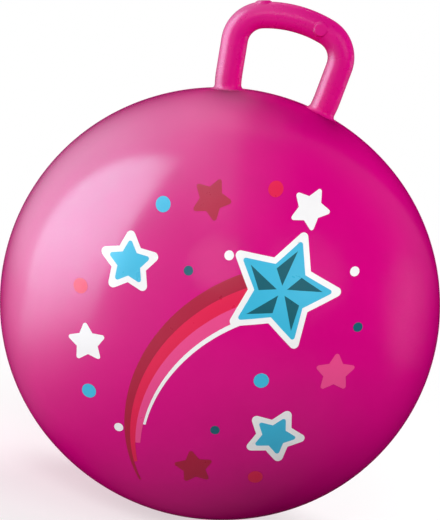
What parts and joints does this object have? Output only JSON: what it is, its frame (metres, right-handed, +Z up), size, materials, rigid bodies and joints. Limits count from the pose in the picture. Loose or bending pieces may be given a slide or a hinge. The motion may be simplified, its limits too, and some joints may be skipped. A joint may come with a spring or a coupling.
{
  "type": "hopper ball",
  "caption": "Hollow vinyl hopper ball with a loop handle, a pull-out valve stopper and a printed star pattern on its front; it rests on a small flat under it.",
  "frame": {"origin": "centre of the bottom of the whole toy's box, in the middle of the small flat that the ball rests on", "axes": "+Z up through the ball's pole and the handle; X along the crossbar of the handle; -Y towards the printed front"},
  "size_m": [0.4998, 0.5002, 0.5925],
  "materials": {
    "skin": "glossy soft vinyl, hot magenta",
    "stopper": "glossy vinyl, hot magenta",
    "ink_white": "printed ink, glossy",
    "ink_blue": "printed ink, glossy",
    "ink_teal": "printed ink, glossy",
    "ink_crimson": "printed ink, glossy",
    "ink_coral": "printed ink, glossy",
    "ink_pink": "printed ink, glossy"
  },
  "bodies": {
    "ball": {"ball_shell": "skin", "handle": "skin", "valve_sleeve": "stopper", "print_white": "ink_white", "print_blue": "ink_blue", "print_teal": "ink_teal", "print_crimson": "ink_crimson", "print_coral": "ink_coral", "print_pink": "ink_pink"},
    "stopper": {"valve_plug": "stopper"}
  },
  "joints": [
    {"name": "stopper_pull", "type": "slide", "parent": "ball", "child": "stopper", "axis": [0, -1, 0], "range_m": [0, 0.06]}
  ]
}
